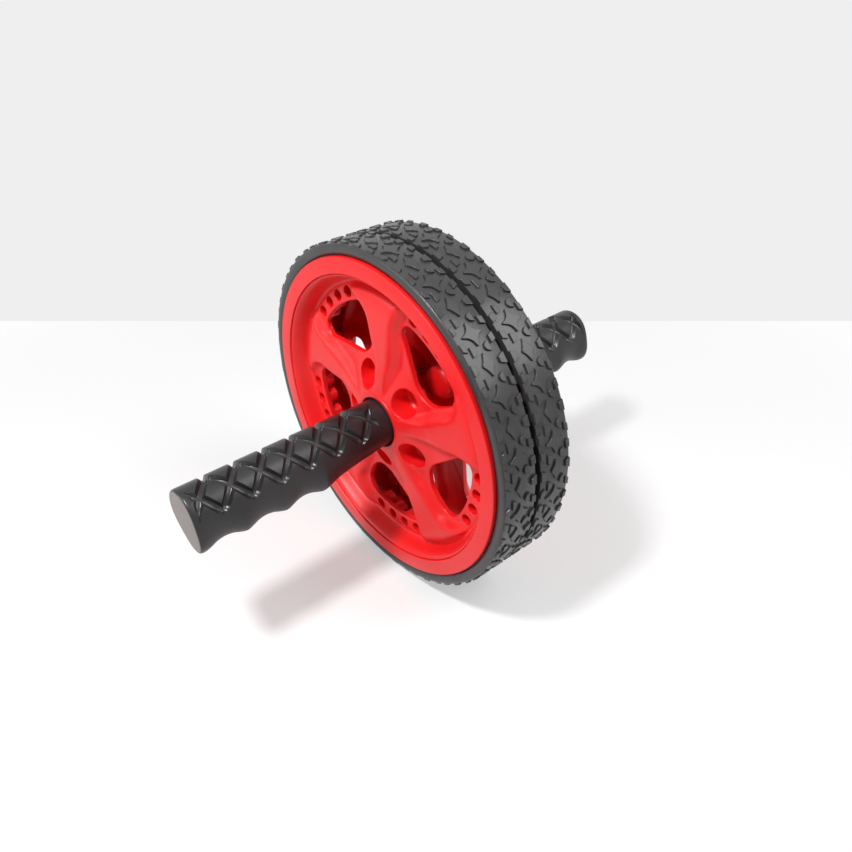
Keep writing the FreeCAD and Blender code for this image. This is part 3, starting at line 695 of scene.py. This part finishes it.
turns = {"front": Matrix.Rotation(pi, 4, "Z"), "rear": Matrix.Rotation(radians(8.5), 4, "Y")}
starTurn = {"front": radians(2.2), "rear": radians(23.5)}      # first star, before the end is turned
wheel, tyre = makeWheel(), makeTyre()
print("wheel and tyre moulded")
for end in ("front", "rear"):
    redWheel = copyOf(wheel, turns[end])
    redWheel.name = redWheel.data.name = "redWheel." + end
    smoothTo(redWheel, wheelMould["smoothAngle"])
    fit(redWheel, "wheel_" + end, end + "_wheel", "red_plastic")
    treadTyre = copyOf(tyre, turns[end] @ Matrix.Rotation(-starTurn[end], 4, "Y"))
    treadTyre.name = treadTyre.data.name = "treadTyre." + end
    fit(treadTyre, "tyre_" + end, end + "_wheel", "tyre_rubber")
for spare in (wheel, tyre):
    bpy.data.objects.remove(spare, do_unlink=True)
for end, side in (("front", -1), ("rear", 1)):
    fit(makeGrip(end, side), "grip_sleeve_" + end, "handlebar", "grip_rubber")
print("wheels, tyres and grips fitted")

# Camera, at the photograph's angle
view = {"azimuth": radians(49.5777), "elevation": radians(36.2365), "shiftRight": 9.1935, "shiftUp": -9.3840,
        "away": 400.0075, "sensor": 36, "lens": 790.18/852*36, "nearest": 10}
rightWay = Vector((cos(view["azimuth"]), sin(view["azimuth"]), 0))
level = cos(view["elevation"])
backWay = Vector((sin(view["azimuth"])*level, -cos(view["azimuth"])*level, sin(view["elevation"])))
upWay = backWay.cross(rightWay)
eye = (rightWay*view["shiftRight"] + upWay*view["shiftUp"] + backWay*view["away"])*mm
putDown()
bpy.ops.object.camera_add()
camera = bpy.context.active_object
camera.data.lens, camera.data.sensor_width, camera.data.clip_start = view["lens"], view["sensor"], view["nearest"]*mm
camera.matrix_world = Matrix.Translation(eye) @ Matrix((rightWay, upWay, backWay)).transposed().to_4x4()
bpy.context.scene.camera = camera


def anySight(nodes, links, path):
    # 1 for what the camera sees straight, mirrored or through something clear
    seen = path.outputs["Is Camera Ray"]
    for kind in ("Is Glossy Ray", "Is Transmission Ray"):
        either = nodes.new("ShaderNodeMath")
        either.operation = "MAXIMUM"
        links.new(seen, either.inputs[0])
        links.new(path.outputs[kind], either.inputs[1])
        seen = either.outputs[0]
    return seen


# Floor: white, its far edge straight across the view
stageSet = {"edge": 255, "near": 1800, "half": 2400, "white": 0.94, "mottle": 0.005, "mottleScale": 30,
            "seenShare": (0.4, 0.93), "seenFrom": 150, "seenTo": 420,
            "wall": (0.863, 0.863, 0.863, 1), "fill": (0.97, 0.98, 1.0, 1), "fillPower": 0.12}
putDown()
bpy.ops.mesh.primitive_plane_add(size=1)
floorSheet = bpy.context.active_object
floorSheet.name = "floorSheet"
ahead = Vector((-backWay.x, -backWay.y, 0)).normalized()
reaches = [(across, along) for along in (-stageSet["near"], stageSet["edge"]) for across in (-1, 1)]
for vert, (across, along) in zip(floorSheet.data.vertices, reaches):
    vert.co = (rightWay*across*stageSet["half"] + ahead*along)*mm + Vector((0, 0, floorHeight))
floorPaint = bpy.data.materials.new("floorPaint")
floorPaint.use_nodes = True
nodes, links = floorPaint.node_tree.nodes, floorPaint.node_tree.links
shader = nodes["Principled BSDF"]
shader.inputs["Roughness"].default_value = 0.9
shader.inputs["Specular IOR Level"].default_value = 0.1
speckle, paint = nodes.new("ShaderNodeTexNoise"), nodes.new("ShaderNodeMapRange")
place = nodes.new("ShaderNodeTexCoord")
speckle.inputs["Scale"].default_value = stageSet["mottleScale"]
paint.inputs["To Min"].default_value = stageSet["white"] - stageSet["mottle"]
paint.inputs["To Max"].default_value = stageSet["white"] + stageSet["mottle"]
links.new(place.outputs["Object"], speckle.inputs["Vector"])
links.new(speckle.outputs["Fac"], paint.inputs["Value"])
links.new(paint.outputs["Result"], shader.inputs["Base Color"])
path, share, glow, mix = (nodes.new("ShaderNode" + kind) for kind in ("LightPath", "Math", "Emission", "MixShader"))
share.operation = "MULTIPLY"
# whiter away from the object and its shadow
away, fade = nodes.new("ShaderNodeVectorMath"), nodes.new("ShaderNodeMapRange")
away.operation = "LENGTH"
fade.inputs["From Min"].default_value, fade.inputs["From Max"].default_value = stageSet["seenFrom"]*mm, stageSet["seenTo"]*mm
fade.inputs["To Min"].default_value, fade.inputs["To Max"].default_value = stageSet["seenShare"]
links.new(place.outputs["Object"], away.inputs[0])
links.new(away.outputs["Value"], fade.inputs["Value"])
links.new(fade.outputs["Result"], share.inputs[1])
links.new(anySight(nodes, links, path), share.inputs[0])
links.new(share.outputs[0], mix.inputs[0])
links.new(shader.outputs[0], mix.inputs[1])
links.new(glow.outputs[0], mix.inputs[2])
links.new(mix.outputs[0], nodes["Material Output"].inputs["Surface"])
floorSheet.data.materials.append(floorPaint)

# Light: a near soft lamp in front and above, soft panels overhead, behind on the right and in front on the left
lamps = {
    "keyLamp": {"at": (35, -307, 531), "aim": (0, 0, -20), "size": 90, "power": 3.4},
    "overheadPanel": {"at": (150, 120, 900), "aim": (0, 0, 0), "size": 700, "power": 0.55},
    "sheenPanel": {"at": (330, 265, 450), "aim": (0, 0, 0), "size": 420, "power": 2.3},
    "frontPanel": {"at": (-220, -480, 180), "aim": (0, 0, 0), "size": 300, "power": 0.85},
}
for name, lamp in lamps.items():
    putDown()
    at = Vector(lamp["at"])*mm
    bpy.ops.object.light_add(type="AREA", location=at)
    light = bpy.context.active_object
    light.name = name
    light.data.shape, light.data.size, light.data.energy = "DISK", lamp["size"]*mm, lamp["power"]
    light.rotation_euler = (Vector(lamp["aim"])*mm - at).to_track_quat("-Z", "Y").to_euler()
surround = bpy.data.worlds.new("surround")
bpy.context.scene.world = surround
surround.use_nodes = True
nodes, links = surround.node_tree.nodes, surround.node_tree.links
seenWorld = nodes["Background"]
seenWorld.inputs["Color"].default_value = stageSet["wall"]
litWorld = nodes.new("ShaderNodeBackground")
litWorld.inputs["Color"].default_value = stageSet["fill"]
litWorld.inputs["Strength"].default_value = stageSet["fillPower"]
path, mix = nodes.new("ShaderNodeLightPath"), nodes.new("ShaderNodeMixShader")
links.new(anySight(nodes, links, path), mix.inputs[0])
links.new(litWorld.outputs[0], mix.inputs[1])
links.new(seenWorld.outputs[0], mix.inputs[2])
links.new(mix.outputs[0], nodes["World Output"].inputs["Surface"])
print("camera, floor and light set")

putDown()
